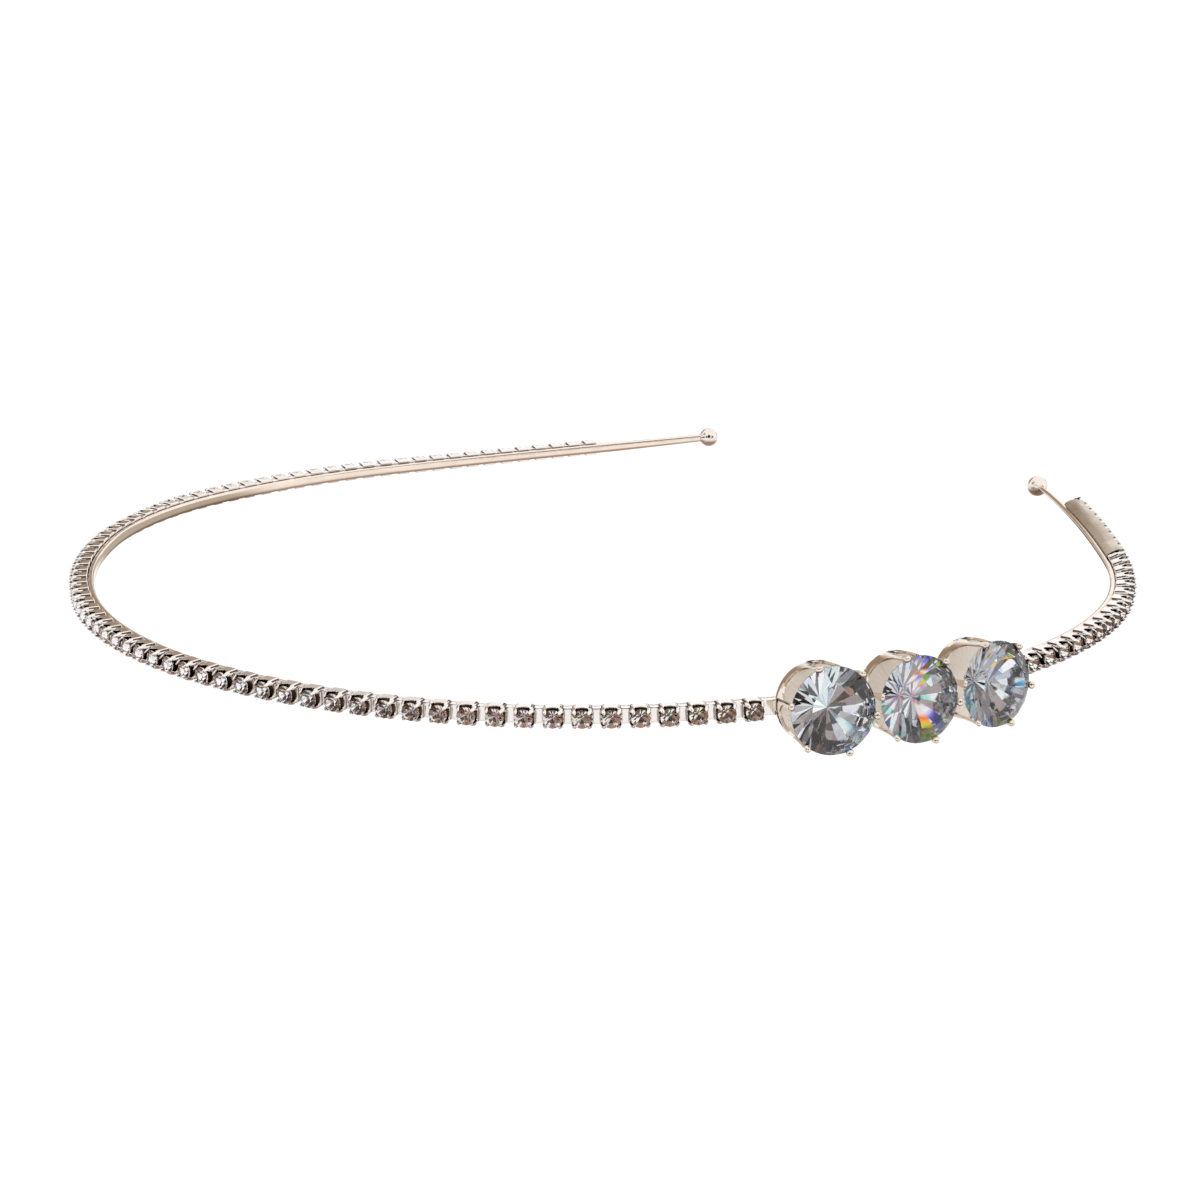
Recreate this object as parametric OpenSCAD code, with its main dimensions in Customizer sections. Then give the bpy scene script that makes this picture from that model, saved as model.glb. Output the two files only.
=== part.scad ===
// Horseshoe headband of flat plated wire. A chain of small cut stones in four-claw
// cups runs round its outside, three large crystals in six-prong settings sit side by
// side to the right of the middle, and a ball closes each bare tip.
// Lengths are in millimetres. The band lies on its side, as it rests on a table.

/* [Band strip] */
// Width of the flat wire under the chain
strip_w = 1.5; // [1.2:0.05:1.9]
// Thickness of the flat wire
strip_t = 0.8; // [0.6:0.05:1.1]
// Width of the flat wire at its bare tips
tip_w = 1.1; // [0.9:0.05:1.4]
// Thickness of the flat wire at its bare tips
tip_t = 0.65; // [0.55:0.05:0.8]
// Length over which each tip narrows and thins
taper_len = 18; // [10:1:20]
// Diameter of the ball on each tip
ball_d = 3.2; // [2.6:0.1:4]

/* [Cup chain] */
// Distance from one small stone to the next
pitch = 3.1; // [2.9:0.02:3.14]
// Small stones to the left of the crystals
left_cups = 75; // [60:1:75]
// Small stones to the right of the crystals
right_cups = 26; // [18:1:26]
// Width across the flats of one cup
cup_w = 2.3; // [2.3:0.05:2.4]
// Depth of one cup, from its back to its rim
cup_h = 1.8; // [1.5:0.05:2]
// Diameter of one small stone
chip_d = 2.05; // [1.8:0.05:2.05]

/* [Crystals] */
// Diameter of one large crystal
crystal_d = 10; // [9:0.1:10.1]
// Distance from one crystal to the next, along the strip
crystal_step = 9.7; // [9.7:0.05:10.4]
// Depth of a setting, from the strip to the widest part of its crystal
setting_h = 5.5; // [5:0.1:6]
// How far the settings lean up from square to the strip, in degrees
setting_lean = 7.5; // [4:0.5:9]
// Turn of the prongs about the axis of the crystal, in degrees
prong_turn = -11; // [-30:1:-8]

/* [Rest] */
// Angle of the band to the table it lies on, in degrees
rest_tilt = 1.58; // [0:0.01:4]
// Direction in which the band rises from the table, in degrees from +X
rest_rise = -9.9; // [-180:1:180]
// Height of the strip's middle over the table at the origin
rest_lift = 2.93; // [2:0.01:7]

/* [Hidden] */

// Outline of the strip's inner face, from the left tip round to the right one.
// One row an arc: its length, and how far it turns left, in degrees.
ARC_LEN = 0;
ARC_TURN = 1;
band_arcs = [[30, -2.6], [30, 4.3], [30, 21.6], [30, 38.2], [30, 23.1], [35, 30.4], [37, 29.2],
             [22, 18.1], [18, 10.2], [18, 16], [18, 16.8], [37, 35.3], [37, 6.7], [9.6, 5.1]];
band_start = [-36, 71.1];   // where the left tip stands, beside the middle of the whole

// How far the strip is twisted about its own length, its outer side up: distance
// along the strip, then degrees. Most of the twist is in the right arm.
band_twist = [[0, 0], [45, 1], [60, 7], [98, 8], [110, 0],
              [318, 0], [334, 27], [352, 35], [364, 42], [382, 50]];

// Where things sit along the strip, measured from the middle of the left ball
first_left_cup = 22.7;
left_reach = 7.4;         // from the last cup to the first crystal
right_reach = 6.7;        // from the last crystal to the first cup after it
first_crystal = first_left_cup + (left_cups - 1) * pitch + left_reach;
first_right_cup = first_crystal + 2 * crystal_step + right_reach;

gap = 0.06;               // between pieces that touch on the real thing
base_r = 4.7;             // outside of a crystal's setting at its floor
ring_step = 3;            // length of one straight piece of the strip
edge_cut = 0.18;          // chamfer along the strip's edges
tip_in_ball = 0.35;       // the strip stops this far short of the ball's middle
silver = [0.84, 0.82, 0.79];
clear_glass = [0.86, 0.90, 0.95];

// Points along the outline

function rot2(p, a) = [p.x * cos(a) - p.y * sin(a), p.x * sin(a) + p.y * cos(a)];

// End of an arc that starts at the origin and heads along +X
function arc_end(length, turn) =
    abs(turn) < 0.001 ? [length, 0]
                      : let (r = length / turn * 180 / PI) [r * sin(turn), r * (1 - cos(turn))];

// Start of arc i: distance along the strip, heading, x, y
function arc_start(i) =
    i == 0 ? [0, 0, 0, 0]
           : let (k = arc_start(i - 1),
                  a = band_arcs[i - 1],
                  e = rot2(arc_end(a[ARC_LEN], a[ARC_TURN]), k[1]))
             [k[0] + a[ARC_LEN], k[1] + a[ARC_TURN], k[2] + e.x, k[3] + e.y];

starts = [for (i = [0:len(band_arcs)]) arc_start(i)];
band_len = starts[len(band_arcs)][0];
tip_to_tip = [starts[len(band_arcs)][2], starts[len(band_arcs)][3]];
level = -atan2(tip_to_tip.y, tip_to_tip.x);   // turns the outline until its tips are level

// Place on the strip's inner face at distance s: x, y, heading
function band_at(s) =
    let (i = max([for (k = [0:len(band_arcs) - 1]) if (k == 0 || starts[k][0] <= s) k]),
         part = (s - starts[i][0]) / band_arcs[i][ARC_LEN],
         turn = part * band_arcs[i][ARC_TURN],
         e = rot2(arc_end(s - starts[i][0], turn), starts[i][1]),
         p = rot2([starts[i][2] + e.x, starts[i][3] + e.y], level))
    [band_start.x + p.x, band_start.y + p.y, starts[i][1] + turn + level];

function twist_at(s) = lookup(s, band_twist);

// Puts children on the strip: their X runs along it, Y is up and Z points outwards
module on_band(s, out = 0, lean = 0) {
    p = band_at(s);
    translate([p[0], p[1], 0])
        rotate([-twist_at(s), 0, p[2]])
            translate([0, -out, 0])
                rotate([90 - lean, 0, 0])
                    children();
}

// Lays the level band down on the table
module at_rest() {
    translate([0, 0, rest_lift])
        rotate([0, 0, rest_rise])
            rotate([0, -rest_tilt, 0])
                rotate([0, 0, -rest_rise])
                    children();
}

// Strip

// Section of the strip at s, in its own plane: out from the inner face, and up
function strip_section(s) =
    let (full = min(1, min(s, band_len - s) / taper_len),
         w = (tip_w + (strip_w - tip_w) * full) / 2,
         t = tip_t + (strip_t - tip_t) * full,
         c = edge_cut)
    [[0, -w + c], [c, -w], [t - c, -w], [t, -w + c],
     [t, w - c], [t - c, w], [c, w], [0, w - c]];

function strip_ring(s) =
    let (p = band_at(s))
    [for (q = strip_section(s))
        let (k = rot2(q, twist_at(s)))
        [p[0] + k.x * sin(p[2]), p[1] - k.x * cos(p[2]), k.y]];

function strip_stations() =
    let (first = tip_in_ball,
         last = band_len - tip_in_ball,
         n = round((last - first) / ring_step))
    [for (i = [0:n]) first + (last - first) * i / n];

// Closed body through a row of rings that all have the same number of points
module skin(rings) {
    n = len(rings[0]);
    last = len(rings) - 1;
    polyhedron(
        points = [for (r = rings) for (p = r) p],
        faces = concat(
            [[for (j = [n - 1:-1:0]) j]],
            [[for (j = [0:n - 1]) last * n + j]],
            [for (i = [0:last - 1]) for (j = [0:n - 1])
                [i * n + j, i * n + (j + 1) % n, (i + 1) * n + j]],
            [for (i = [0:last - 1]) for (j = [0:n - 1])
                [i * n + (j + 1) % n, (i + 1) * n + (j + 1) % n, (i + 1) * n + j]]));
}

module band_strip() {
    color(silver)
        at_rest()
            skin([for (s = strip_stations()) strip_ring(s)]);
}

// Ball on a tip, with a blind hole that the end of the strip goes into. way is 1
// where the strip leaves the ball along the outline and -1 where it arrives.
module ball_tip(s, way) {
    hole_r = norm([tip_w, tip_t]) / 2 + gap;
    color(silver)
        at_rest()
            on_band(s, out = tip_t / 2)
                difference() {
                    sphere(d = ball_d, $fn = 48);
                    rotate([0, way * 90, 0])
                        cylinder(r = hole_r, h = ball_d, $fn = 32);
                }
}

module ball_tip_left() { ball_tip(0, 1); }

module ball_tip_right() { ball_tip(band_len, -1); }

// Cup chain

cup_wall = 0.12;          // between the stone's bore and the flats
cup_floor = 0.3;
cup_round = 1.4;          // radius of the rounded corners, from the cup's axis
notch_w = 1.3;            // opening in each flat, between two claws
notch_h = 0.65;
claw_w = 0.42;
claw_rise = 0.75;         // from the rim to the top of a claw
claw_in = 0.36;           // how far a claw bends over its stone
tab_w = 1.5;              // link that joins a cup to the next, a neck almost half as deep as the cup
tab_t = 0.8;
tab_clear = 0.14;
end_clear = 0.26;         // between a chain's last link and the setting that leans over it
bore_r = cup_w / 2 - cup_wall;
plain_tab = pitch - cup_w - tab_clear;
left_end_tab = left_reach - cup_w / 2 - base_r - end_clear;    // links up to the settings
right_end_tab = right_reach - cup_w / 2 - base_r - end_clear;

// Profile of one claw: distance from the axis, height over the cup's back
function claw_profile() =
    let (r = bore_r + 0.02, top = cup_h + claw_rise)
    [[r, cup_h - notch_h - 0.3], [cup_round, cup_h - notch_h - 0.3], [cup_round, cup_h + 0.25],
     [r - 0.02, top], [r - claw_in, top - 0.08], [r, cup_h + 0.34]];

module claw(profile, width) {
    rotate([90, 0, 0])
        linear_extrude(height = width, center = true)
            polygon(profile);
}

// Cup with its link, which reaches along X to tab_len beyond the flat, on side way
module cup(way, tab_len) {
    difference() {
        intersection() {
            translate([-cup_w / 2, -cup_w / 2, 0]) cube([cup_w, cup_w, cup_h]);
            cylinder(r = cup_round, h = cup_h, $fn = 48);
        }
        translate([0, 0, cup_floor]) cylinder(r = bore_r, h = cup_h, $fn = 48);
        for (turn = [0, 90])
            rotate([0, 0, turn])
                translate([-notch_w / 2, -cup_w, cup_h - notch_h]) cube([notch_w, 2 * cup_w, cup_h]);
    }
    for (turn = [45:90:315])
        rotate([0, 0, turn]) claw(claw_profile(), claw_w);
    translate([way * (cup_w / 2 + tab_len / 2 - 0.1), 0, tab_t / 2])
        cube([tab_len + 0.2, tab_w, tab_t], center = true);
}

function left_cup_s(i) = first_left_cup + i * pitch;
function right_cup_s(i) = first_right_cup + i * pitch;

module cup_chain_left() {
    color(silver)
        at_rest()
            for (i = [0:left_cups - 1])
                on_band(left_cup_s(i), out = strip_t + gap)
                    cup(1, i == left_cups - 1 ? left_end_tab : plain_tab);
}

module cup_chain_right() {
    color(silver)
        at_rest()
            for (i = [0:right_cups - 1])
                on_band(right_cup_s(i), out = strip_t + gap)
                    cup(-1, i == 0 ? right_end_tab : plain_tab);
}

// Small stones: eight-sided table, sixteen crown facets, eight pavilion facets

chip_table = 0.56;        // table width over stone width
chip_crown = 0.42;
chip_deep = 1.0;
chip_seat = 0.2;          // girdle over the cup's rim

function ring(n, r, z, turn = 0) = [for (i = [0:n - 1]) [r * cos(turn + i * 360 / n), r * sin(turn + i * 360 / n), z]];

module chip() {
    r = chip_d / 2;
    polyhedron(
        points = concat(ring(8, r * chip_table, chip_crown, 22.5), ring(8, r, 0), [[0, 0, -chip_deep]]),
        faces = concat(
            [[for (j = [0:7]) 7 - j]],
            [for (j = [0:7]) [j, (j + 1) % 8, 8 + (j + 1) % 8]],
            [for (j = [0:7]) [j, 8 + (j + 1) % 8, 8 + j]],
            [for (j = [0:7]) [8 + j, 8 + (j + 1) % 8, 16]]));
}

module chip_row(count, first) {
    color(clear_glass)
        at_rest()
            for (i = [0:count - 1])
                on_band(first + i * pitch, out = strip_t + gap + cup_h + chip_seat)
                    chip();
}

module chain_stones_left() { chip_row(left_cups, first_left_cup); }

module chain_stones_right() { chip_row(right_cups, first_right_cup); }

// Settings: a cup with a flared wall, deeply scalloped between each two prongs, and a
// slot near its floor under every other scallop

prongs = 6;
floor_t = 0.35;
wall_t = 0.32;
wall_top = 3.35;          // height of the wall before it is scalloped
scallop_r = 2.2;
slot_w = 1.9;
slot_h = 0.5;
prong_w = 0.95;
prong_foot = 0.5;         // height at which a prong leaves the wall
prong_out = 0.12;         // how far a prong stands out from the wall
prong_tip = 0.42;         // how far a prong bends in over the crystal
seat = crystal_d / 2 + gap;           // radius of the wall's inside at the girdle

// Inside radius of the flared wall at height z
function flare(z) = base_r - wall_t + (seat - base_r + wall_t) * z / setting_h;

function prong_profile() =
    let (out = wall_t + prong_out)
    [[flare(prong_foot) + 0.02, prong_foot], [flare(prong_foot) + out, prong_foot],
     [flare(setting_h) + out, setting_h + 0.35],
     [seat + 0.1, setting_h + 0.95], [seat - prong_tip, setting_h + 0.88],
     [seat - prong_tip + 0.06, setting_h + 0.56], [seat, setting_h + 0.2]];

module setting() {
    difference() {
        rotate_extrude($fn = 96)
            polygon([[0, 0], [base_r, 0], [flare(wall_top) + wall_t, wall_top],
                     [flare(wall_top), wall_top], [flare(floor_t), floor_t], [0, floor_t]]);
        for (i = [0:prongs - 1])
            rotate([0, 0, (i + 0.5) * 360 / prongs]) {
                translate([0, 0, wall_top])
                    rotate([0, 90, 0])
                        cylinder(r = scallop_r, h = base_r * 2, $fn = 48);
                if (i % 2 == 1)
                    translate([base_r - 1, -slot_w / 2, floor_t]) cube([2, slot_w, slot_h]);
            }
    }
    for (i = [0:prongs - 1])
        rotate([0, 0, i * 360 / prongs]) claw(prong_profile(), prong_w);
}

// Clears the strip by the gap, also along the edge that the setting leans to
setting_out = strip_t + gap + strip_w / 2 * sin(setting_lean);

module setting_at(i) {
    color(silver)
        at_rest()
            on_band(first_crystal + i * crystal_step, out = setting_out, lean = setting_lean)
                rotate([0, 0, prong_turn]) setting();
}

module setting_1() { setting_at(0); }

module setting_2() { setting_at(1); }

module setting_3() { setting_at(2); }

// Crystals: round brilliant crown, thin girdle and sixteen pavilion facets

table_part = 0.6;         // table width over crystal width
star_part = 0.79;
crown_part = 0.15;        // crown height over crystal width
deep_part = 0.42;         // pavilion depth over crystal width
girdle_h = 0.16;

module crystal() {
    r = crystal_d / 2;
    crown = crown_part * crystal_d;
    star_z = girdle_h + crown * 0.55;
    top = girdle_h + crown;
    table = ring(8, r * table_part, top);
    star = ring(8, r * star_part, star_z, 22.5);
    upper = ring(16, r, girdle_h);
    lower = ring(16, r, 0);
    s0 = 8;
    u0 = 16;
    l0 = 32;
    culet = 48;
    polyhedron(
        points = concat(table, star, upper, lower, [[0, 0, -deep_part * crystal_d]]),
        faces = concat(
            [[for (j = [0:7]) 7 - j]],
            [for (j = [0:7]) [j, (j + 1) % 8, s0 + j]],
            [for (j = [0:7]) [j, s0 + j, u0 + 2 * j]],
            [for (j = [0:7]) [j, u0 + 2 * j, s0 + (j + 7) % 8]],
            [for (j = [0:7]) [s0 + j, u0 + 2 * j + 1, u0 + 2 * j]],
            [for (j = [0:7]) [s0 + j, u0 + (2 * j + 2) % 16, u0 + 2 * j + 1]],
            [for (j = [0:15]) [u0 + j, u0 + (j + 1) % 16, l0 + (j + 1) % 16, l0 + j]],
            [for (j = [0:15]) [l0 + j, l0 + (j + 1) % 16, culet]]));
}

module crystal_at(i) {
    color(clear_glass)
        at_rest()
            on_band(first_crystal + i * crystal_step, out = setting_out, lean = setting_lean)
                translate([0, 0, setting_h]) rotate([0, 0, prong_turn]) crystal();
}

module crystal_1() { crystal_at(0); }

module crystal_2() { crystal_at(1); }

module crystal_3() { crystal_at(2); }

band_strip();
ball_tip_left();
ball_tip_right();
cup_chain_left();
cup_chain_right();
chain_stones_left();
chain_stones_right();
setting_1();
setting_2();
setting_3();
crystal_1();
crystal_2();
crystal_3();
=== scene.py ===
import bpy
import math
from mathutils import Matrix, Vector


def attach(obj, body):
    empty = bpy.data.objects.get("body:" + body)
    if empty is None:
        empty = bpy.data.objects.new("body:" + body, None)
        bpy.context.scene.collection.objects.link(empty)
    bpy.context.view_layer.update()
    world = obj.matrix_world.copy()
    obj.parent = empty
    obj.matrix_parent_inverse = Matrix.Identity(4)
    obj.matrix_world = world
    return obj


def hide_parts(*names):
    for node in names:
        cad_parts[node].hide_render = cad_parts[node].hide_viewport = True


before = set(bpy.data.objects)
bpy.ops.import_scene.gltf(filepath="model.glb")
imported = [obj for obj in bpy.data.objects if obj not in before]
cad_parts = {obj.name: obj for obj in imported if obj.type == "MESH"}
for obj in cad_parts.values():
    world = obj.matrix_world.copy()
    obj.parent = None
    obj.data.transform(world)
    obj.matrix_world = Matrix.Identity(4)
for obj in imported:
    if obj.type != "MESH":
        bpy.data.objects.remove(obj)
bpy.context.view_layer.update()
print("frame loaded,", len(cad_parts), "nodes")

mm = 0.001


# small helpers

def objectMode():
    if bpy.context.object and bpy.context.object.mode != "OBJECT":
        bpy.ops.object.mode_set(mode="OBJECT")


def only(*pieces):       # selects these pieces and nothing else, the first one active
    objectMode()
    bpy.ops.object.select_all(action="DESELECT")
    for piece in pieces:
        piece.select_set(True)
    bpy.context.view_layer.objects.active = pieces[0]


# goes into edit mode with only the wanted corners, edges or faces selected
def pick(piece, kind, wanted):
    only(piece)
    bpy.ops.object.mode_set(mode="EDIT")
    bpy.ops.mesh.select_mode(type=kind)
    bpy.ops.mesh.select_all(action="DESELECT")
    bpy.ops.object.mode_set(mode="OBJECT")
    mesh = piece.data
    if kind == "VERT":
        for v in mesh.vertices:
            v.select = wanted(v.co)
    elif kind == "EDGE":
        for e in mesh.edges:
            e.select = wanted(mesh.vertices[e.vertices[0]].co, mesh.vertices[e.vertices[1]].co)
    else:
        for f in mesh.polygons:
            f.select = wanted(f.center, f.normal)
    bpy.ops.object.mode_set(mode="EDIT")


def added(name):         # the primitive that was just added, with its place in its mesh
    piece = bpy.context.object
    piece.name = name
    bpy.ops.object.transform_apply(location=True, rotation=True, scale=True)
    return piece


def modify(piece, kind, **settings):
    only(piece)
    mod = piece.modifiers.new(kind.lower(), kind)
    for key, value in settings.items():
        setattr(mod, key, value)
    bpy.ops.object.modifier_apply(modifier=mod.name)


def cut(piece, *tools):
    for tool in tools:
        modify(piece, "BOOLEAN", operation="DIFFERENCE", object=tool, solver="EXACT")
        bpy.data.objects.remove(tool)


def joined(name, *pieces):
    only(*pieces)
    if len(pieces) > 1:
        bpy.ops.object.join()
    piece = bpy.context.object
    piece.name = name
    return piece


def smooth(piece, degrees=35):
    only(piece)
    bpy.ops.object.shade_smooth_by_angle(angle=math.radians(degrees))
    for f in piece.data.polygons:        # faces with many corners are flat sheet, and shaded flat
        if len(f.vertices) > 4:
            f.use_smooth = False


def allOf(piece):        # goes into edit mode with the whole mesh selected
    pick(piece, "FACE", lambda c, n: True)
    bpy.ops.mesh.select_all(action="SELECT")


def outward(piece):      # faces point outwards
    allOf(piece)
    bpy.ops.mesh.normals_make_consistent(inside=False)
    objectMode()


# one copy of a model at each place, each with its own mesh, joined into one piece
def stamped(name, model, places):
    copies = []
    for place in places:
        piece = model.copy()
        piece.data = model.data.copy()
        piece.data.transform(place)
        bpy.context.scene.collection.objects.link(piece)
        copies.append(piece)
    return joined(name, *copies)


# outline of the band, in mm: length of each arc and how far it turns left, from the left tip round
band = {
    "arcs": [(30, -2.6), (30, 4.3), (30, 21.6), (30, 38.2), (30, 23.1), (35, 30.4), (37, 29.2),
             (22, 18.1), (18, 10.2), (18, 16), (18, 16.8), (37, 35.3), (37, 6.7), (9.6, 5.1)],
    "start": (-36, 71.1),
    "width": 1.5, "tipWidth": 1.1, "taper": 18, "thick": 0.8, "tipThick": 0.65,
    # twist about its own length, outer side up: distance along it, then degrees
    "twist": [(0, 0), (45, 1), (60, 7), (98, 8), (110, 0), (318, 0), (334, 27), (352, 35), (364, 42),
              (382, 50)],
    # how it lies: tilted this much, rising towards this heading, and lifted off the floor
    "restTilt": 1.58, "restRise": -9.9, "restLift": 2.93,
}
chain = {"pitch": 3.1, "leftCount": 75, "rightCount": 26, "firstLeft": 22.7, "leftReach": 7.4,
         "rightReach": 6.7}
crystalRow = {"step": 9.7, "out": 0.96, "lean": 7.5, "turn": -11, "height": 5.5}

bandLength = sum(a[0] for a in band["arcs"])


def walk(s):             # heading and place at distance s, before the outline is levelled
    x, y, heading = 0.0, 0.0, 0.0
    for length, turn in band["arcs"]:
        part = min(s, length) if (length, turn) != band["arcs"][-1] else s
        bend = math.radians(turn) * part / length
        r = length / math.radians(turn)
        dx, dy = r * math.sin(bend), r * (1 - math.cos(bend))
        x, y = (x + dx * math.cos(heading) - dy * math.sin(heading),
                y + dx * math.sin(heading) + dy * math.cos(heading))
        heading += bend
        s -= part
        if s <= 0:
            break
    return x, y, heading


endX, endY = walk(bandLength)[:2]
levelTurn = -math.atan2(endY, endX)      # turns the outline until both tips are level


def bandAt(s):           # place on the inner face of the wire, in mm, and heading
    x, y, heading = walk(s)
    c, n = math.cos(levelTurn), math.sin(levelTurn)
    return band["start"][0] + x * c - y * n, band["start"][1] + x * n + y * c, heading + levelTurn


def twistAt(s):          # in radians
    for (a, first), (b, second) in zip(band["twist"], band["twist"][1:]):
        if s <= b:
            return math.radians(first + (second - first) * (s - a) / (b - a))


rise = Matrix.Rotation(math.radians(band["restRise"]), 4, "Z")
atRest = (Matrix.Translation((0, 0, band["restLift"] * mm)) @ rise
          @ Matrix.Rotation(math.radians(-band["restTilt"]), 4, "Y") @ rise.inverted())


# place on the band: x runs along the wire, y is up and z points outwards
def onBand(s, out=0, lean=0, turn=0):
    x, y, heading = bandAt(s)
    return (atRest @ Matrix.Translation((x * mm, y * mm, 0)) @ Matrix.Rotation(heading, 4, "Z")
            @ Matrix.Rotation(-twistAt(s), 4, "X") @ Matrix.Translation((0, -out * mm, 0))
            @ Matrix.Rotation(math.radians(90 - lean), 4, "X") @ Matrix.Rotation(math.radians(turn), 4, "Z"))


leftCups = [chain["firstLeft"] + i * chain["pitch"] for i in range(chain["leftCount"])]
crystals = [leftCups[-1] + chain["leftReach"] + i * crystalRow["step"] for i in range(3)]
rightCups = [crystals[-1] + chain["rightReach"] + i * chain["pitch"] for i in range(chain["rightCount"])]


# camera as the photo's, worked out from the object's outline in it: in the band's own level frame, in mm
view = {"place": (176.609, -221.371, 76.735), "azimuth": 39.139, "down": 16.455, "roll": -0.52,
        "lens": 62.215}
cameraData = bpy.data.cameras.new("photoCamera")
cameraData.sensor_width = 36
cameraData.lens = view["lens"]
cameraData.clip_start = 0.01
cameraData.clip_end = 100
camera = bpy.data.objects.new("photoCamera", cameraData)
bpy.context.scene.collection.objects.link(camera)
camera.matrix_world = (atRest @ Matrix.Translation(Vector(view["place"]) * mm)
                       @ Matrix.Rotation(math.radians(view["azimuth"]), 4, "Z")
                       @ Matrix.Rotation(math.radians(90 - view["down"]), 4, "X")
                       @ Matrix.Rotation(math.radians(view["roll"]), 4, "Z"))
bpy.context.scene.camera = camera
print("camera set")


# materials

def linear(hexCode):     # sRGB hex to the linear colour that a node takes
    channels = [int(hexCode[i:i + 2], 16) / 255 for i in (1, 3, 5)]
    return [c / 12.92 if c <= 0.04045 else ((c + 0.055) / 1.055) ** 2.4 for c in channels] + [1.0]


# adds a node with its settings; links go to sockets by name
def addNode(material, kind, settings=None, links=None):
    node = material.node_tree.nodes.new(kind)
    for key, value in (settings or {}).items():
        if key in node.inputs.keys():
            node.inputs[key].default_value = value
        else:
            setattr(node, key, value)
    for key, socket in (links or {}).items():
        material.node_tree.links.new(socket, node.inputs[key])
    return node


def newMaterial(name):
    material = bpy.data.materials.new(name)
    material.use_nodes = True
    material.node_tree.nodes.clear()
    return material


def mixColour(material, factor, first, second):      # either colour may be a socket or a fixed one
    node = addNode(material, "ShaderNodeMix", {"data_type": "RGBA"})
    for socket, colour in ((node.inputs[6], first), (node.inputs[7], second)):
        if isinstance(colour, list):
            socket.default_value = colour
        else:
            material.node_tree.links.new(colour, socket)
    material.node_tree.links.new(factor, node.inputs[0])
    return node.outputs[2]


def finishMaterial(material, shader):
    addNode(material, "ShaderNodeOutputMaterial", links={"Surface": shader.outputs[0]})
    return material


# nickel-coloured plating over brass wire and sheet, barrel polished: bright and a little warm, with a
# faint waviness about 0.6 mm across and a duller film here and there; brown painted shade on faces turned
# down and along the band's lower edge, and in the recesses real brown oxide deepened by painted shade
def platedMetal(name, colour, dull, rough, wave, crevice, lowEdge=None):
    m = newMaterial(name)
    where = addNode(m, "ShaderNodeTexCoord").outputs["Object"]
    film = addNode(m, "ShaderNodeTexNoise", {"Scale": 420.0, "Detail": 3.0, "Roughness": 0.6},
                   {"Vector": where})
    ripple = addNode(m, "ShaderNodeTexNoise", {"Scale": 1600.0, "Detail": 2.0}, {"Vector": where})
    polish = mixColour(m, film.outputs[0], linear(colour), linear(dull))
    # painted shade in the recesses, over real oxide: darker brown where the AO node finds other surfaces
    # close by
    crevices = addNode(m, "ShaderNodeAmbientOcclusion", {"samples": 8, "Distance": crevice * mm})
    clean = addNode(m, "ShaderNodeMapRange", {"From Min": 0.25, "From Max": 0.75},
                    {"Value": crevices.outputs["AO"]})
    # painted shade: faces turned down go brown, more so the more they face the floor
    normal = addNode(m, "ShaderNodeNewGeometry").outputs["Normal"]
    facing = addNode(m, "ShaderNodeSeparateXYZ", links={"Vector": normal})
    under = addNode(m, "ShaderNodeMapRange", {"From Min": -0.1, "From Max": -0.4},
                    {"Value": facing.outputs["Z"]})
    worn = mixColour(m, under.outputs[0], polish, linear("#9A7C6A"))
    if lowEdge:          # painted shade along the band's lower edge too, between these heights from its middle, in mm
        up = atRest.to_3x3() @ Vector((0, 0, 1))
        height = addNode(m, "ShaderNodeVectorMath", {"operation": "DOT_PRODUCT"}, {0: where})
        height.inputs[1].default_value = up
        middle = up.dot(atRest.translation)
        edge = addNode(m, "ShaderNodeMapRange", {"From Min": middle + lowEdge[0] * mm,
                                                 "From Max": middle + lowEdge[1] * mm},
                       {"Value": height.outputs["Value"]})
        worn = mixColour(m, edge.outputs[0], worn, linear("#A28470"))
    # dark brown painted shade, with real oxide, mixed in where the recesses close in
    tint = mixColour(m, clean.outputs[0], linear("#33231A"), worn)
    gloss = addNode(m, "ShaderNodeMapRange", {"From Min": 0.3, "From Max": 0.7, "To Min": rough * 0.7,
                                              "To Max": rough * 1.5}, {"Value": film.outputs[0]})
    bump = addNode(m, "ShaderNodeBump", {"Strength": wave, "Distance": 0.04 * mm},
                   {"Height": ripple.outputs[0]})
    shader = addNode(m, "ShaderNodeBsdfPrincipled", {"Metallic": 1.0},
                     {"Base Color": tint, "Roughness": gloss.outputs[0], "Normal": bump.outputs[0]})
    return finishMaterial(m, shader)


wireMetal = platedMetal("platedWire", "#F8EADC", "#E6D5C5", 0.16, 0.25, 0.5, (-0.22, -0.44))
ballMetal = platedMetal("platedBall", "#F6EEE6", "#DCCFC2", 0.14, 0.3, 0.3)
solderMetal = platedMetal("solderedEnd", "#D9CCBC", "#B4A797", 0.3, 0.5, 0.5)
cupMetal = platedMetal("platedSheet", "#F6F1EE", "#E6DFDA", 0.08, 0.2, 0.4)
settingMetal = platedMetal("platedSettings", "#F3E8DC", "#DCCFC1", 0.06, 0.15, 0.4)


# sheet that was never polished: dark brown inside a small cup, a white pickled bloom inside a setting
def oxidised(name, colour, worn, metallic=1.0, rough=0.35):
    m = newMaterial(name)
    where = addNode(m, "ShaderNodeTexCoord").outputs["Object"]
    stain = addNode(m, "ShaderNodeTexNoise", {"Scale": 1100.0, "Detail": 3.0}, {"Vector": where})
    shader = addNode(m, "ShaderNodeBsdfPrincipled", {"Metallic": metallic, "Roughness": rough},
                     {"Base Color": mixColour(m, stain.outputs[0], linear(colour), linear(worn))})
    return finishMaterial(m, shader)


cupInside = oxidised("oxidisedSheet", "#4A3026", "#6E5446")


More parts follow.
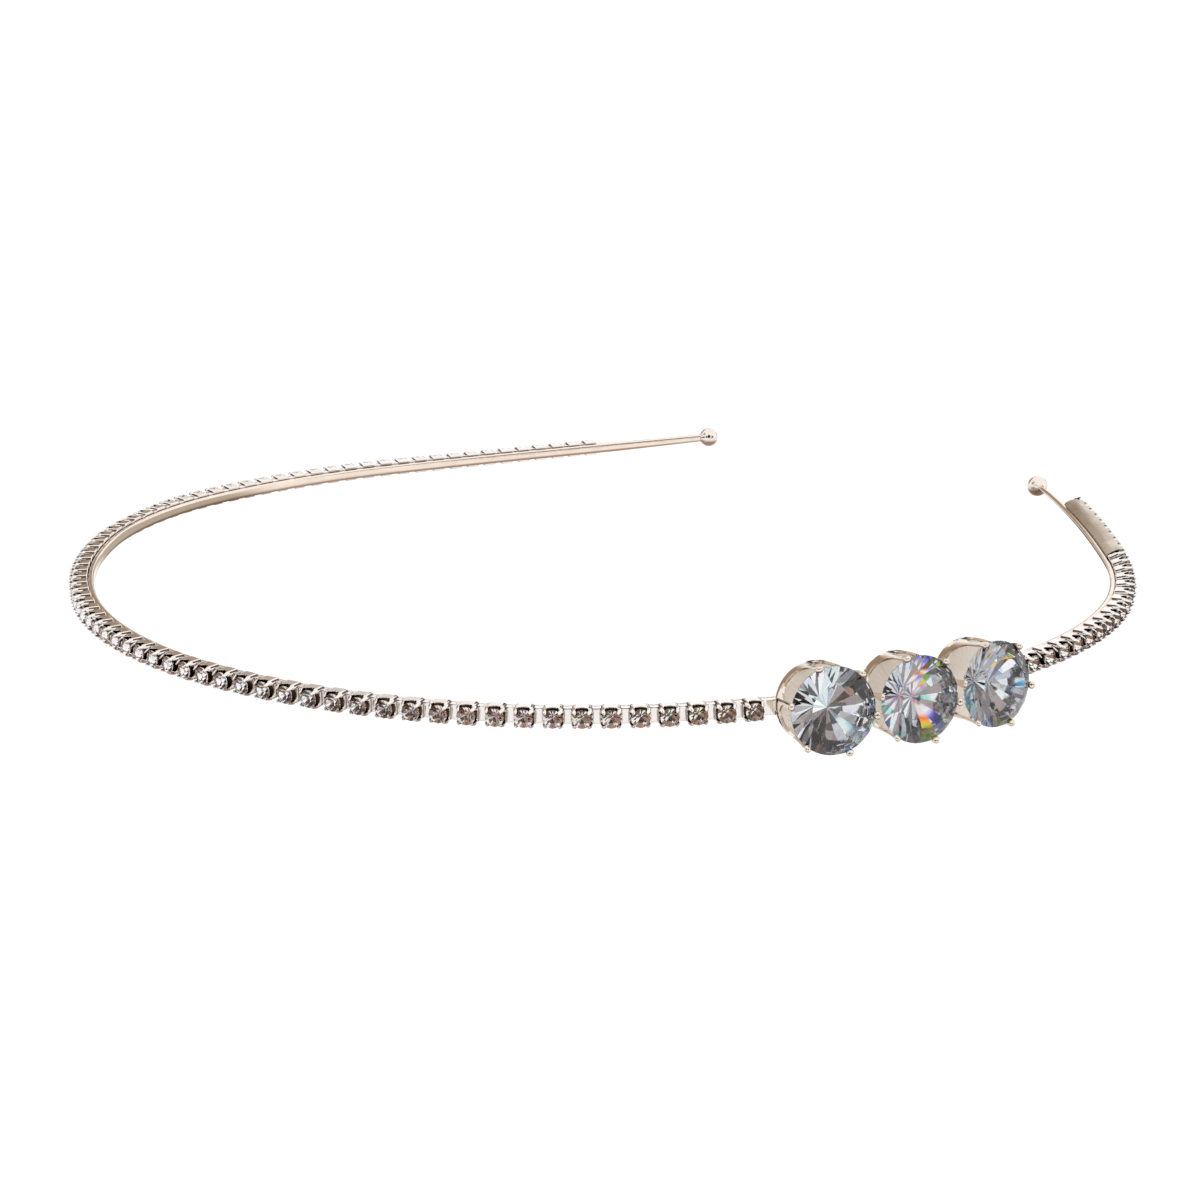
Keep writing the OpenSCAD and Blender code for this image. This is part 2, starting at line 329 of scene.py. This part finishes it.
# lead crystal: clear, bends light strongly, with the faintest haze on its polish
def crystalGlass(name, colour, ior):
    m = newMaterial(name)
    where = addNode(m, "ShaderNodeTexCoord").outputs["Object"]
    haze = addNode(m, "ShaderNodeTexNoise", {"Scale": 900.0, "Detail": 2.0}, {"Vector": where})
    rough = addNode(m, "ShaderNodeMapRange",
                    {"From Min": 0.5, "From Max": 0.8, "To Min": 0.0, "To Max": 0.02},
                    {"Value": haze.outputs[0]})
    shader = addNode(m, "ShaderNodeBsdfPrincipled",
                     {"Base Color": linear(colour), "IOR": ior, "Transmission Weight": 1.0},
                     {"Roughness": rough.outputs[0]})
    return finishMaterial(m, shader)


# silvered foil on the back facets: a shade duller in patches about 2 mm across, with faint painted fire,
# spots of colour finer than half a millimetre
def stoneFoil(name, colour, dull, rough=0.02, play=0.2):
    m = newMaterial(name)
    where = addNode(m, "ShaderNodeTexCoord").outputs["Object"]
    patch = addNode(m, "ShaderNodeTexNoise", {"Scale": 500.0, "Detail": 1.0}, {"Vector": where})
    # painted fire: vivid spots of colour multiplied into the foil
    specks = addNode(m, "ShaderNodeTexNoise", {"Scale": 2400.0, "Detail": 2.0, "Roughness": 0.6},
                     {"Vector": where})
    vivid = addNode(m, "ShaderNodeHueSaturation", {"Saturation": 2.2, "Value": 1.8},
                    {"Color": specks.outputs["Color"]})
    silver = mixColour(m, patch.outputs[0], linear(colour), linear(dull))
    tinted = addNode(m, "ShaderNodeMix", {"data_type": "RGBA", "blend_type": "MULTIPLY"})
    tinted.inputs[0].default_value = play
    m.node_tree.links.new(silver, tinted.inputs[6])
    m.node_tree.links.new(vivid.outputs[0], tinted.inputs[7])
    shader = addNode(m, "ShaderNodeBsdfPrincipled", {"Metallic": 1.0, "Roughness": rough},
                     {"Base Color": tinted.outputs[2]})
    return finishMaterial(m, shader)


# the same foil with painted fire, standing in for the light the glass splits: bands of these colours, each a
# millimetre or so wide
def fireFoil(name, colours):
    m = newMaterial(name)
    where = addNode(m, "ShaderNodeTexCoord").outputs["Object"]
    drift = addNode(m, "ShaderNodeTexNoise", {"Scale": 260.0, "Detail": 0.0}, {"Vector": where})
    ramp = addNode(m, "ShaderNodeValToRGB", links={"Fac": drift.outputs[0]})
    hues = [(0.3 + 0.4 * i / (len(colours) - 1), colour) for i, colour in enumerate(colours)]
    while len(ramp.color_ramp.elements) < len(hues):
        ramp.color_ramp.elements.new(0.5)
    for stop, (at, colour) in zip(ramp.color_ramp.elements, hues):
        stop.position = at
        stop.color = linear(colour)
    shader = addNode(m, "ShaderNodeBsdfPrincipled", {"Metallic": 1.0, "Roughness": 0.15},
                     {"Base Color": ramp.outputs[0]})
    return finishMaterial(m, shader)


# champagne lacquer that shields the foil, brushed on: satin, a little uneven
def foilLacquer(name, colour, dull):
    m = newMaterial(name)
    where = addNode(m, "ShaderNodeTexCoord").outputs["Object"]
    coat = addNode(m, "ShaderNodeTexNoise", {"Scale": 700.0, "Detail": 2.0}, {"Vector": where})
    shader = addNode(m, "ShaderNodeBsdfPrincipled", {"Roughness": 0.4},
                     {"Base Color": mixColour(m, coat.outputs[0], linear(colour), linear(dull))})
    return finishMaterial(m, shader)


largeGlass = crystalGlass("leadCrystal", "#FFFFFF", 1.56)
# glass tinted for painted fire on a few crown facets
blueFire = crystalGlass("leadCrystalBlue", "#8CB4FF", 1.56)
amberFire = crystalGlass("leadCrystalAmber", "#FFC080", 1.56)
tealFire = crystalGlass("leadCrystalTeal", "#8CE8DC", 1.56)
smallGlass = crystalGlass("chatonGlass", "#FFFFFF", 1.52)
smallFoil = stoneFoil("chatonFoil", "#FFFFFF", "#F4F0EE", 0.08)
smallDarkFoil = stoneFoil("chatonDarkFoil", "#8C6450", "#AC8A76", 0.03)
# foil kinds for the crystals' facets, each under a letter: mirror, white, satin, grey, shade, and the
# painted fire between them, orange, blue or violet; grey and shade foil laid facet by facet paint dark
# reflections
foils = {"m": stoneFoil("crystalFoil", "#F1F2F6", "#DADCE2"),
         "w": stoneFoil("crystalFoilWhite", "#FFFFFF", "#F6F6FA", 0.03, 0.08),
         "s": stoneFoil("crystalFoilSatin", "#EEF0F4", "#D2D6DE", 0.06),
         "g": stoneFoil("crystalFoilGrey", "#C8CED8", "#B2B0B6", 0.04),
         "d": stoneFoil("crystalFoilShade", "#AAA09E", "#908684", 0.05),
         "o": fireFoil("crystalFireWarm", ["#F0E8E0", "#E8702C", "#F4B43C", "#A8D23E", "#E6EEE4"]),
         "b": fireFoil("crystalFireBlue", ["#DDEBEA", "#39B7D8", "#2F6FC0", "#8FD8C8", "#E8E4EA"]),
         "v": fireFoil("crystalFireViolet", ["#E8E4EA", "#8C7CE0", "#4452C8", "#D88CA8", "#F0E8E8"])}
dishMetal = oxidised("paleSheet", "#FFFCF8", "#F6EEE4", 0.4, 0.6)
lacquer = foilLacquer("champagneLacquer", "#EFE7DB", "#DDD2C2")


def dress(piece, *materials):
    piece.data.materials.clear()
    for m in materials:
        piece.data.materials.append(m)


print("materials made")


# band wire: a flat bar with rounded edges, narrowed at both ends, bent along the outline
section = {"piece": 1.0, "corner": 0.24, "rounds": 3, "short": 0.2}      # ends short of each ball's centre
bpy.ops.mesh.primitive_cube_add(size=1)
wire = bpy.context.object
wire.scale = (section["piece"] * mm, band["thick"] * mm, band["width"] * mm)
wire = added("bandWire")
pick(wire, "FACE", lambda c, n: abs(n.x) > 0.9)
bpy.ops.mesh.delete(type="ONLY_FACE")
pick(wire, "EDGE", lambda a, b: abs(a.x - b.x) > 0.5 * mm)
bpy.ops.mesh.bevel(offset=section["corner"] * mm, segments=section["rounds"])
objectMode()
wireLength = bandLength - 2 * section["short"]
count = round(wireLength / section["piece"])
stretch = wireLength / count / section["piece"]
wire.data.transform(Matrix.Diagonal((stretch, 1, 1, 1)))
modify(wire, "ARRAY", count=count, use_relative_offset=True, relative_offset_displace=(1, 0, 0),
       use_merge_vertices=True, merge_threshold=0.01 * mm)
leftEnd = min(v.co.x for v in wire.data.vertices)
wire.data.transform(Matrix.Translation((section["short"] * mm - leftEnd, -band["thick"] / 2 * mm, 0)))
for v in wire.data.vertices:             # narrower and thinner at the bare tips
    full = min(1, min(v.co.x, bandLength * mm - v.co.x) / (band["taper"] * mm))
    v.co.z *= (band["tipWidth"] + (band["width"] - band["tipWidth"]) * full) / band["width"]
    v.co.y *= (band["tipThick"] + (band["thick"] - band["tipThick"]) * full) / band["thick"]
nearEnd = section["short"] + 0.05
for atEnd in (lambda a, b: max(a.x, b.x) < nearEnd * mm,
              lambda a, b: min(a.x, b.x) > (bandLength - nearEnd) * mm):
    pick(wire, "EDGE", atEnd)
    bpy.ops.mesh.edge_face_add()
objectMode()
outward(wire)

guide = bpy.data.curves.new("guide", "CURVE")
guide.dimensions = "3D"
guide.twist_mode = "Z_UP"
spline = guide.splines.new("POLY")
steps = round(bandLength * 2)
spline.points.add(steps)
for i in range(steps + 1):
    x, y = bandAt(bandLength * i / steps)[:2]
    spline.points[i].co = (x * mm, y * mm, 0, 1)
    spline.points[i].tilt = -twistAt(bandLength * i / steps)
guideObject = bpy.data.objects.new("guide", guide)
bpy.context.scene.collection.objects.link(guideObject)
modify(wire, "CURVE", object=guideObject, deform_axis="POS_X")
wire.data.transform(atRest)
smooth(wire, 50)
dress(wire, wireMetal)
print("band wire bent")


# ball tips: a turned ball with a small fillet of solder where the wire goes in
ball = {"size": 3.2, "fillet": 0.95, "filletEnd": 0.5, "filletLong": 0.5}


def makeBallTip(name, s, way):
    bpy.ops.mesh.primitive_uv_sphere_add(segments=40, ring_count=24, radius=ball["size"] / 2 * mm,
                                         rotation=(0, math.radians(90 * way), 0))
    piece = added(name)
    deep = math.sqrt((ball["size"] / 2) ** 2 - ball["fillet"] ** 2) * mm
    bpy.ops.mesh.primitive_cone_add(vertices=32, radius1=ball["fillet"] * mm, radius2=ball["filletEnd"] * mm,
                                    depth=ball["filletLong"] * mm, rotation=(0, math.radians(90 * way), 0),
                                    location=(way * (deep + ball["filletLong"] / 2 * mm), 0, 0))
    fillet = added("fillet")
    piece = joined(name, piece, fillet)
    piece.data.transform(onBand(s, band["tipThick"] / 2))
    smooth(piece, 50)
    dress(piece, ballMetal)
    return piece


ballLeft = makeBallTip("ballTipLeft", 0, 1)
ballRight = makeBallTip("ballTipRight", bandLength, -1)
print("ball tips turned")


# cups: pressed sheet, a rounded square box with a curved notch in each side and a claw on each corner
cup = {"width": 2.3, "height": 1.8, "wall": 0.1, "floor": 0.3, "corner": 0.42, "edge": 0.035,
       "foot": 0.12, "lowFoot": 0.32, "lowSide": 1.1, "notch": 0.72, "notchTop": 1.85,
       "clawWide": 0.23, "clawThick": 0.16, "clawTall": 0.62, "clawOut": 1.24, "clawAt": 1.95, "clawLean": 22}

bpy.ops.mesh.primitive_cube_add(size=1, location=(0, 0, cup["height"] / 2 * mm))
bpy.context.object.scale = (cup["width"] * mm, cup["width"] * mm, cup["height"] * mm)
cupModel = added("cup")
pick(cupModel, "EDGE", lambda a, b: abs(a.z - b.z) > 1 * mm)
bpy.ops.mesh.bevel(offset=cup["corner"] * mm, segments=3)
lowSide = -cup["lowSide"] * mm
pick(cupModel, "EDGE", lambda a, b: max(a.z, b.z) < 0.1 * mm and min(a.y, b.y) > lowSide)
bpy.ops.mesh.bevel(offset=cup["foot"] * mm, segments=2)
pick(cupModel, "EDGE", lambda a, b: max(a.z, b.z) < 0.01 * mm and max(a.y, b.y) < lowSide)
bpy.ops.mesh.bevel(offset=cup["lowFoot"] * mm, segments=2)
pick(cupModel, "FACE", lambda c, n: n.z > 0.9)
bpy.ops.mesh.inset(thickness=cup["wall"] * mm)
down = (cup["floor"] - cup["height"]) * mm
bpy.ops.mesh.extrude_region_move(TRANSFORM_OT_translate={"value": (0, 0, down)})
objectMode()
notches = []
for turn in (0, 90):
    bpy.ops.mesh.primitive_cylinder_add(vertices=20, radius=cup["notch"] * mm, depth=4 * mm,
                                        location=(0, 0, cup["notchTop"] * mm),
                                        rotation=(math.radians(90), 0, math.radians(turn)))
    notches.append(added("notch"))
cut(cupModel, *notches)
modify(cupModel, "BEVEL", width=cup["edge"] * mm, segments=1, limit_method="ANGLE",
       angle_limit=math.radians(40))
dress(cupModel, cupMetal, cupInside)
for f in cupModel.data.polygons:
    inside = max(abs(f.center.x), abs(f.center.y)) < (cup["width"] / 2 - 0.8 * cup["wall"]) * mm
    f.material_index = 1 if inside and f.center.z > 0.9 * cup["floor"] * mm else 0
claws = []
for turn in (45, 135, 225, 315):
    bpy.ops.mesh.primitive_uv_sphere_add(segments=8, ring_count=6, radius=mm)
    bpy.context.object.scale = (cup["clawThick"], cup["clawWide"], cup["clawTall"])
    claw = added("claw")
    # the claw leans in over the stone
    claw.data.transform(Matrix.Rotation(math.radians(turn), 4, "Z")
                        @ Matrix.Translation((cup["clawOut"] * mm, 0, cup["clawAt"] * mm))
                        @ Matrix.Rotation(math.radians(-cup["clawLean"]), 4, "Y"))
    dress(claw, cupMetal)
    claws.append(claw)
cupModel = joined("cup", cupModel, *claws)
smooth(cupModel, 35)

# link between two cups: a neck of the same sheet
link = {"length": 1.0, "width": 1.9, "thick": 0.85, "neck": 0.94, "neckLong": 0.6, "edge": 0.05}


def makeLink(length):
    bpy.ops.mesh.primitive_cube_add(size=1, location=(0, 0, link["thick"] / 2 * mm))
    bpy.context.object.scale = (length * mm, link["width"] * mm, link["thick"] * mm)
    piece = added("link")
    allOf(piece)
    bpy.ops.mesh.subdivide(number_cuts=2)
    pick(piece, "VERT", lambda co: abs(co.x) < link["neckLong"] / 2 * length * mm)
    bpy.ops.transform.resize(value=(1, link["neck"], 1), center_override=(0, 0, 0))
    objectMode()
    modify(piece, "BEVEL", width=link["edge"] * mm, segments=2, limit_method="ANGLE",
           angle_limit=math.radians(50))
    smooth(piece, 40)
    dress(piece, cupMetal)
    return piece


linkModel = makeLink(link["length"])
backing = band["thick"] - 0.01           # the cups' floors lie on the wire


# cups with a link between each two, and one longer link from a to b along the wire, to a setting
def makeChain(name, stations, a, b):
    cups = stamped(name + "Cups", cupModel, [onBand(s, backing) for s in stations])
    halfway = [(near + far) / 2 for near, far in zip(stations, stations[1:])]
    links = stamped(name + "Links", linkModel, [onBand(s, backing) for s in halfway])
    longLink = makeLink(b - a)
    longLink.data.transform(onBand((a + b) / 2, backing))
    return joined(name, cups, links, longLink)


fromCup = cup["width"] / 2 - 0.1         # the long link starts inside the cup's wall
fromSetting = 4.7 - 0.05                 # and ends just inside the foot of the setting
leftChain = makeChain("cupChainLeft", leftCups, leftCups[-1] + fromCup, crystals[0] - fromSetting)
rightChain = makeChain("cupChainRight", rightCups, crystals[2] + fromSetting, rightCups[0] - fromCup)
print("cup chains made")

# the right-hand chain's last cups are flooded with solder: a smooth skin over them, rounded at its end
# rows: outwards from the wire's inner face, then up from its middle, in mm
cover = {"cups": 9.4, "past": 0.35, "thick": 0.1, "round": 3, "endSize": 0.3, "base": 0.75, "piece": 0.5,
         "rows": [(0.7, 0.72), (0.8, 1.17), (1.6, 1.25), (2.3, 1.24), (2.75, 1.1), (3.0, 0.75), (3.3, 0.2)]}
coverEnd = rightCups[-1] + cup["width"] / 2 + cover["past"]
coverLength = cover["cups"] * chain["pitch"]
columns, rows = round(coverLength / cover["piece"]), len(cover["rows"]) - 1
bpy.ops.mesh.primitive_grid_add(x_subdivisions=columns, y_subdivisions=rows, size=2)
coverPiece = added("chainEndCover")
for v in coverPiece.data.vertices:
    along = coverLength * (1 - v.co.x) / 2
    out, up = cover["rows"][round((v.co.y + 1) / 2 * rows)]
    near = min(1, along / cover["round"])
    full = cover["endSize"] + (1 - cover["endSize"]) * math.sqrt(1 - (1 - near) ** 2)
    v.co = Vector((coverEnd - along, -cover["base"] - (out - cover["base"]) * full, up)) * mm
outward(coverPiece)
modify(coverPiece, "SOLIDIFY", thickness=cover["thick"] * mm, offset=0)
modify(coverPiece, "CURVE", object=guideObject, deform_axis="POS_X")
bpy.data.objects.remove(guideObject)
coverPiece.data.transform(atRest)
smooth(coverPiece, 50)
dress(coverPiece, solderMetal)
rightChain = joined("cupChainRight", rightChain, coverPiece)


# cut stones: a blank is ground facet by facet, each a plane at its slope and turn

def grind(blank, slope, turns, radius, height):
    for turn in turns:
        a, t = math.radians(slope), math.radians(turn)
        facing = Vector((math.sin(a) * math.cos(t), math.sin(a) * math.sin(t), math.cos(a)))
        through = Vector((radius * math.cos(t), radius * math.sin(t), height)) * mm
        allOf(blank)
        bpy.ops.mesh.bisect(plane_co=through, plane_no=facing, use_fill=True, clear_outer=True,
                            clear_inner=False, threshold=0.0001 * mm)
    objectMode()


def every(step, start=0):
    return [start + i * step for i in range(round(360 / step))]


# foil is on the back facets, one letter of the pattern for each, round from the one at the start angle;
# lighter and darker foil in the pattern paints the stone's reflections
def foilBacked(stone, glass, kinds, pattern, start):
    letters = sorted(set(pattern))
    dress(stone, glass, *[kinds[letter] for letter in letters])
    for f in stone.data.polygons:
        f.material_index = 0
        if f.normal.z < -0.2:
            around = math.degrees(math.atan2(f.normal.y, f.normal.x))
            letter = pattern[round((around - start) * len(pattern) / 360) % len(pattern)]
            f.material_index = 1 + letters.index(letter)


# painted fire on a few of the slim facets round the crown too: tinted glass at these turns
def crownFire(stone, tints):
    for turn, glass in tints:
        stone.data.materials.append(glass)
        for f in stone.data.polygons:
            around = math.degrees(math.atan2(f.normal.y, f.normal.x)) - turn
            if 0.7 < f.normal.z < 0.8 and abs((around + 180) % 360 - 180) < 6:
                f.material_index = len(stone.data.materials) - 1


# lacquer lies on the foil: the back facets again, a hair further out
def lacquered(stone):
    coat = stone.copy()
    coat.data = stone.data.copy()
    bpy.context.scene.collection.objects.link(coat)
    pick(coat, "FACE", lambda c, n: n.z > -0.2)
    bpy.ops.mesh.delete(type="FACE")
    objectMode()
    modify(coat, "DISPLACE", strength=0.015 * mm, mid_level=0)
    dress(coat, lacquer)
    for f in coat.data.polygons:
        f.material_index = 0
    return joined(stone.name, stone, coat)


# crystals: 8 main, 16 upper and 8 star facets round the table, 32 at the back
large = {"size": 9.9, "blank": 9, "cutIn": 0.985, "girdle": 0.16, "crown": 1.3, "mainSlope": 34,
         "mainUp": 0.05, "upperSlope": 40, "upperUp": 0.02, "starSlope": 20, "starOut": 3.45,
         "starDown": 0.14, "backSlope": 40, "betweenSlope": 40.7}
# crown facets of each crystal with painted fire: at this turn, in degrees, this tinted glass
crownTints = [[(303.75, blueFire), (348.75, tealFire), (258.75, amberFire), (11.25, blueFire)],
              [(236.25, tealFire), (281.25, blueFire), (326.25, amberFire), (191.25, tealFire)],
              [(213.75, tealFire), (258.75, blueFire), (303.75, amberFire), (33.75, blueFire)]]
# foil of the 32 back facets of each crystal, laid out to paint reflections: dark wedges and pale sectors
foilPatterns = ["swdmdswwwswwswwdwgdwdgdgddgwbvww", "swdgmwwwwswwswwmmdwbwdgdgoosvwdg",
                "ssgswdgwsgswsmdbdmbdgddgdodgsggs"]
foilStart = 5.6

bpy.ops.mesh.primitive_cylinder_add(vertices=48, radius=large["size"] / 2 * mm, depth=large["blank"] * mm)
crystalModel = added("crystal")
r = large["size"] / 2 * large["cutIn"]
table = large["girdle"] + large["crown"]
grind(crystalModel, 0, [0], 0, table)
grind(crystalModel, large["mainSlope"], every(45), r, large["girdle"] + large["mainUp"])
grind(crystalModel, large["upperSlope"], every(22.5, 11.25), r, large["girdle"] + large["upperUp"])
grind(crystalModel, large["starSlope"], every(45, 22.5), large["starOut"], table - large["starDown"])
grind(crystalModel, 180 - large["backSlope"], every(22.5, 5.625), r, 0)
grind(crystalModel, 180 - large["betweenSlope"], every(22.5, 16.875), r, 0)
outward(crystalModel)

# chips, the small stones: 8 facets in front and 8 behind
small = {"size": 2.12, "blank": 3, "cutIn": 0.97, "girdle": 0.05, "crown": 0.36, "mainSlope": 38,
         "backSlope": 43, "seat": 0.14}
bpy.ops.mesh.primitive_cylinder_add(vertices=16, radius=small["size"] / 2 * mm, depth=small["blank"] * mm)
chipModel = added("chip")
r = small["size"] / 2 * small["cutIn"]
grind(chipModel, 0, [0], 0, small["girdle"] + small["crown"])
grind(chipModel, small["mainSlope"], every(45, 22.5), r, small["girdle"])
grind(chipModel, 180 - small["backSlope"], every(45), r, 0)
outward(chipModel)
# three of the eight back facets take the dark brown foil: painted dark reflections
foilBacked(chipModel, smallGlass, {"w": smallFoil, "d": smallDarkFoil}, "dwwdwwdw", 0)
chipModel = lacquered(chipModel)
seatHeight = backing + cup["height"] + small["seat"]
leftStones = stamped("chainStonesLeft", chipModel, [onBand(s, seatHeight) for s in leftCups])
rightStones = stamped("chainStonesRight", chipModel, [onBand(s, seatHeight) for s in rightCups])
print("stones cut")


# settings: sheet drawn into a flared cup, cut away in a deep curve between the six prongs, with slots by
# its floor
setting = {"outline": [(4.7, 0), (4.74, 0.8), (4.82, 2.0), (4.95, 3.4), (5.1, 4.7), (5.22, 5.4), (5.25, 5.85),
                       (5.12, 6.15)],
           "wall": 0.28, "sides": 96, "edge": 0.06, "cutAt": 5, "cutDeep": 4, "curve": 2.25, "curveFoot": 1.1,
           "gapTall": 5, "slotWide": 1.7, "slotHigh": 0.5, "slotUp": 0.33, "slotDeep": 2,
           "bead": 0.46, "beadShape": (0.9, 1, 0.6), "beadOut": 5.06, "beadUp": 6.0, "beadLean": 30}

bpy.ops.mesh.primitive_circle_add(vertices=setting["sides"], radius=setting["outline"][0][0] * mm)
settingModel = added("setting")
pick(settingModel, "EDGE", lambda a, b: True)
for (out, up), (nextOut, nextUp) in zip(setting["outline"], setting["outline"][1:]):
    bpy.ops.mesh.extrude_region_move(TRANSFORM_OT_translate={"value": (0, 0, (nextUp - up) * mm)})
    bpy.ops.transform.resize(value=(nextOut / out, nextOut / out, 1), center_override=(0, 0, 0))
    objectMode()
    pick(settingModel, "EDGE", lambda a, b: min(a.z, b.z) > (nextUp - 0.01) * mm)
pick(settingModel, "EDGE", lambda a, b: max(a.z, b.z) < 0.01 * mm)
bpy.ops.mesh.edge_face_add()         # the floor
objectMode()
outward(settingModel)
modify(settingModel, "SOLIDIFY", thickness=setting["wall"] * mm, offset=-1, use_even_offset=True)
cutters = []
level = setting["curveFoot"] + setting["curve"]
boxes = [("gap", level + setting["gapTall"] / 2,
          (setting["cutDeep"], 2 * setting["curve"], setting["gapTall"])),
         ("slot", setting["slotUp"] + setting["slotHigh"] / 2,
          (setting["slotDeep"], setting["slotWide"], setting["slotHigh"]))]
for i in range(6):
    turn = math.radians(60 * i + 30)
    x, y = setting["cutAt"] * mm * math.cos(turn), setting["cutAt"] * mm * math.sin(turn)
    bpy.ops.mesh.primitive_cylinder_add(vertices=48, radius=setting["curve"] * mm,
                                        depth=setting["cutDeep"] * mm, location=(x, y, level * mm),
                                        rotation=(0, math.radians(90), turn))
    cutters.append(added("curve"))
    for name, up, size in boxes[:1 + i % 2]:         # a slot under every other gap
        bpy.ops.mesh.primitive_cube_add(size=1, location=(x, y, up * mm), rotation=(0, 0, turn))
        bpy.context.object.scale = [side * mm for side in size]
        cutters.append(added(name))
cut(settingModel, *cutters)
modify(settingModel, "BEVEL", width=setting["edge"] * mm, segments=2, limit_method="ANGLE",
       angle_limit=math.radians(40))
dress(settingModel, settingMetal)
beads = []
for i in range(6):
    bpy.ops.mesh.primitive_uv_sphere_add(segments=20, ring_count=12, radius=mm)
    bpy.context.object.scale = [side * setting["bead"] for side in setting["beadShape"]]
    bead = added("bead")
    bead.data.transform(Matrix.Rotation(math.radians(60 * i), 4, "Z")
                        @ Matrix.Translation((setting["beadOut"] * mm, 0, setting["beadUp"] * mm))
                        @ Matrix.Rotation(math.radians(-setting["beadLean"]), 4, "Y"))
    dress(bead, settingMetal)
    beads.append(bead)
settingModel = joined("setting", settingModel, *beads)
smooth(settingModel, 40)
# pleated dish inside, under the crystal
dish = {"pleats": 36, "out": 4.45, "outUp": 1.2, "in": 0.3, "inUp": 0.4, "deep": 0.025}
bpy.ops.mesh.primitive_cone_add(vertices=2 * dish["pleats"], radius1=dish["in"] * mm,
                                radius2=dish["out"] * mm, depth=(dish["outUp"] - dish["inUp"]) * mm,
                                end_fill_type="NOTHING",
                                location=(0, 0, (dish["outUp"] + dish["inUp"]) / 2 * mm))
dishModel = added("dish")
for v in dishModel.data.vertices:        # every other corner of its rim is lower
    spoke = round(math.atan2(v.co.y, v.co.x) / math.pi * dish["pleats"])
    if v.co.z > dish["outUp"] * 0.9 * mm and spoke % 2:
        v.co.z -= dish["deep"] * mm
dress(dishModel, dishMetal)
settingModel = joined("setting", settingModel, dishModel)

settings, stones = [], []
for i, s in enumerate(crystals):
    place = onBand(s, crystalRow["out"], crystalRow["lean"], crystalRow["turn"])
    settings.append(stamped("setting" + str(i + 1), settingModel, [place]))
    stone = stamped("crystal" + str(i + 1), crystalModel, [Matrix.Identity(4)])
    foilBacked(stone, largeGlass, foils, foilPatterns[i], foilStart)
    crownFire(stone, crownTints[i])
    stone = lacquered(stone)
    stone.data.transform(place @ Matrix.Translation((0, 0, crystalRow["height"] * mm)))
    stones.append(stone)
for model in (cupModel, linkModel, crystalModel, chipModel, settingModel):
    bpy.data.objects.remove(model)
print("settings and crystals placed")


# who stands for what
pairs = [(wire, "band_strip", "plated_metal"), (ballLeft, "ball_tip_left", "plated_metal"),
         (ballRight, "ball_tip_right", "plated_metal"), (leftChain, "cup_chain_left", "plated_metal"),
         (rightChain, "cup_chain_right", "plated_metal"), (leftStones, "chain_stones_left", "small_stones"),
         (rightStones, "chain_stones_right", "small_stones")]
pairs += [(settings[i], "setting_" + str(i + 1), "plated_metal") for i in range(3)]
pairs += [(stones[i], "crystal_" + str(i + 1), "large_crystals") for i in range(3)]
for piece, node, slot in pairs:
    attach(piece, "root")
    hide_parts(node)


# floor: white paper sweep, lit until it leaves no shadow; what the metal mirrors of it carries painted
# shade beside the bend at the left and along the right arm, while the camera sees it plain white
# painted shade patch: distance along the band, colour of the shade and its reach in mm
flags = [(104, "#BAB6AE", 26), (338, "#7C7268", 54)]
objectMode()
bpy.ops.mesh.primitive_plane_add(size=60, location=(0, 0, 0))
floor = added("floor")
paper = newMaterial("whitePaper")
onPaper = addNode(paper, "ShaderNodeTexCoord").outputs["Object"]
shade = linear("#FFFFFF")
for s, colour, reach in flags:
    x, y = bandAt(s)[:2]
    away = addNode(paper, "ShaderNodeVectorMath", {"operation": "DISTANCE"}, {0: onPaper})
    away.inputs[1].default_value = (x * mm, y * mm, 0)
    flag = addNode(paper, "ShaderNodeMapRange",
                   {"interpolation_type": "SMOOTHSTEP", "From Min": reach * mm, "From Max": 0.6 * reach * mm},
                   {"Value": away.outputs["Value"]})
    shade = mixColour(paper, flag.outputs[0], shade, linear(colour))
cameraSees = addNode(paper, "ShaderNodeLightPath").outputs["Is Camera Ray"]
glow = addNode(paper, "ShaderNodeEmission", {"Strength": 1.05},
               {"Color": mixColour(paper, cameraSees, shade, linear("#FFFFFF"))})
finishMaterial(paper, glow)
dress(floor, paper)

# studio: a pale tent with darker openings; azimuth is from straight behind the object, turning left
# opening: azimuth, elevation, half width, softness (all in degrees) and its colour
openings = [(180, 20, 19, 8, "#1C0A06"), (146, 12, 10, 7, "#3A2018"), (228, 8, 13, 8, "#2A120C"),
            (30, 12, 22, 6, "#9A8876"), (355, 1, 7, 4, "#1C140E"), (322, 0, 9, 6, "#6A5A4E"),
            (100, 34, 14, 8, "#959595")]
world = bpy.data.worlds.new("studio")
bpy.context.scene.world = world
world.use_nodes = True
world.node_tree.nodes.clear()
towards = addNode(world, "ShaderNodeTexCoord").outputs["Generated"]
tent = linear("#FFFFFF")
for azimuth, elevation, wide, soft, colour in openings:
    a, e = math.radians(view["azimuth"] + azimuth), math.radians(elevation)
    centre = Vector((-math.sin(a) * math.cos(e), math.cos(a) * math.cos(e), math.sin(e)))
    near = addNode(world, "ShaderNodeVectorMath", {"operation": "DOT_PRODUCT"}, {0: towards})
    near.inputs[1].default_value = centre
    mask = addNode(world, "ShaderNodeMapRange",
                   {"interpolation_type": "SMOOTHSTEP", "From Min": math.cos(math.radians(wide + soft)),
                    "From Max": math.cos(math.radians(wide - soft))}, {"Value": near.outputs["Value"]})
    tent = mixColour(world, mask.outputs[0], tent, linear(colour))
seen = addNode(world, "ShaderNodeLightPath").outputs["Is Camera Ray"]
sky = addNode(world, "ShaderNodeBackground", {"Strength": 1.15},
              {"Color": mixColour(world, seen, tent, linear("#FFFFFF"))})
addNode(world, "ShaderNodeOutputWorld", links={"Surface": sky.outputs[0]})

scene = bpy.context.scene
scene.view_settings.view_transform = "Standard"
scene.cycles.glossy_bounces = 10
scene.cycles.transmission_bounces = 12
print("studio lit")

objectMode()
